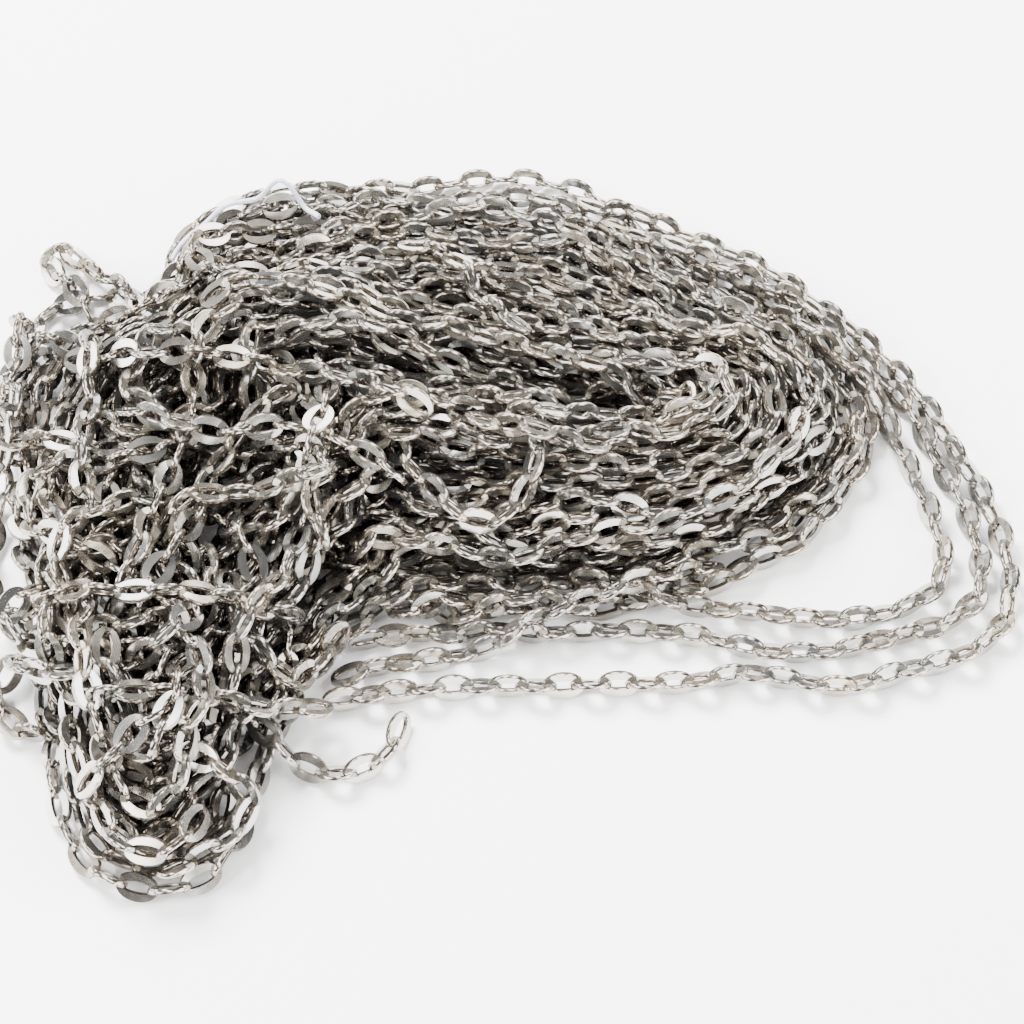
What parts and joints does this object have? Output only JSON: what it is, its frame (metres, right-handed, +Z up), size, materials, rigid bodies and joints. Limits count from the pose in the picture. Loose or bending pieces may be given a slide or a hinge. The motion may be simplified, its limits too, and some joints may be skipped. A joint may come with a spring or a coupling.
{
  "type": "heap of steel cable chain",
  "caption": "Heap of fine stainless steel oval cable chain, bunched as a thread-tied hank with loose strands looping out over a level floor",
  "frame": {"origin": "Centre of the heap's box, on the floor it lies on", "axes": "+X along the hank's longest extent, towards the loose strands; +Y away from the viewer; +Z up"},
  "size_m": [0.0845, 0.0685, 0.0122],
  "materials": {
    "stainless_steel": "bright polished stainless steel, flat rails with fine rolling marks, darker inside the heap",
    "tie_thread": "thin translucent plastic thread with a faint lavender tint"
  },
  "bodies": {
    "root": {"back_corner_loop": "stainless_steel", "front_strand": "stainless_steel", "front_tail": "stainless_steel", "hank_across_1": "stainless_steel", "hank_across_2": "stainless_steel", "hank_across_3": "stainless_steel", "hank_end_loop": "stainless_steel", "hank_run_1": "stainless_steel", "hank_run_2": "stainless_steel", "hank_run_3": "stainless_steel", "hank_run_4": "stainless_steel", "hank_turn_1": "stainless_steel", "hank_turn_2": "stainless_steel", "hank_turn_3": "stainless_steel", "hank_turn_4": "stainless_steel", "hank_turn_5": "stainless_steel", "hank_turn_6": "stainless_steel", "heap_core": "stainless_steel", "inner_strand": "stainless_steel", "joint_strand_1": "stainless_steel", "joint_strand_2": "stainless_steel", "joint_strand_3": "stainless_steel", "left_across_lower": "stainless_steel", "left_across_upper": "stainless_steel", "left_diagonal": "stainless_steel", "left_long_run": "stainless_steel", "left_loop": "stainless_steel", "left_run_1": "stainless_steel", "left_run_2": "stainless_steel", "left_tangle_1": "stainless_steel", "left_tangle_2": "stainless_steel", "left_tangle_3": "stainless_steel", "left_turn_1": "stainless_steel", "left_turn_2": "stainless_steel", "left_turn_3": "stainless_steel", "left_turn_4": "stainless_steel", "left_turn_5": "stainless_steel", "left_turn_6": "stainless_steel", "left_vee": "stainless_steel", "middle_strand": "stainless_steel", "middle_tangle_1": "stainless_steel", "middle_tangle_2": "stainless_steel", "outer_strand": "stainless_steel", "tie_thread": "tie_thread"}
  },
  "joints": []
}
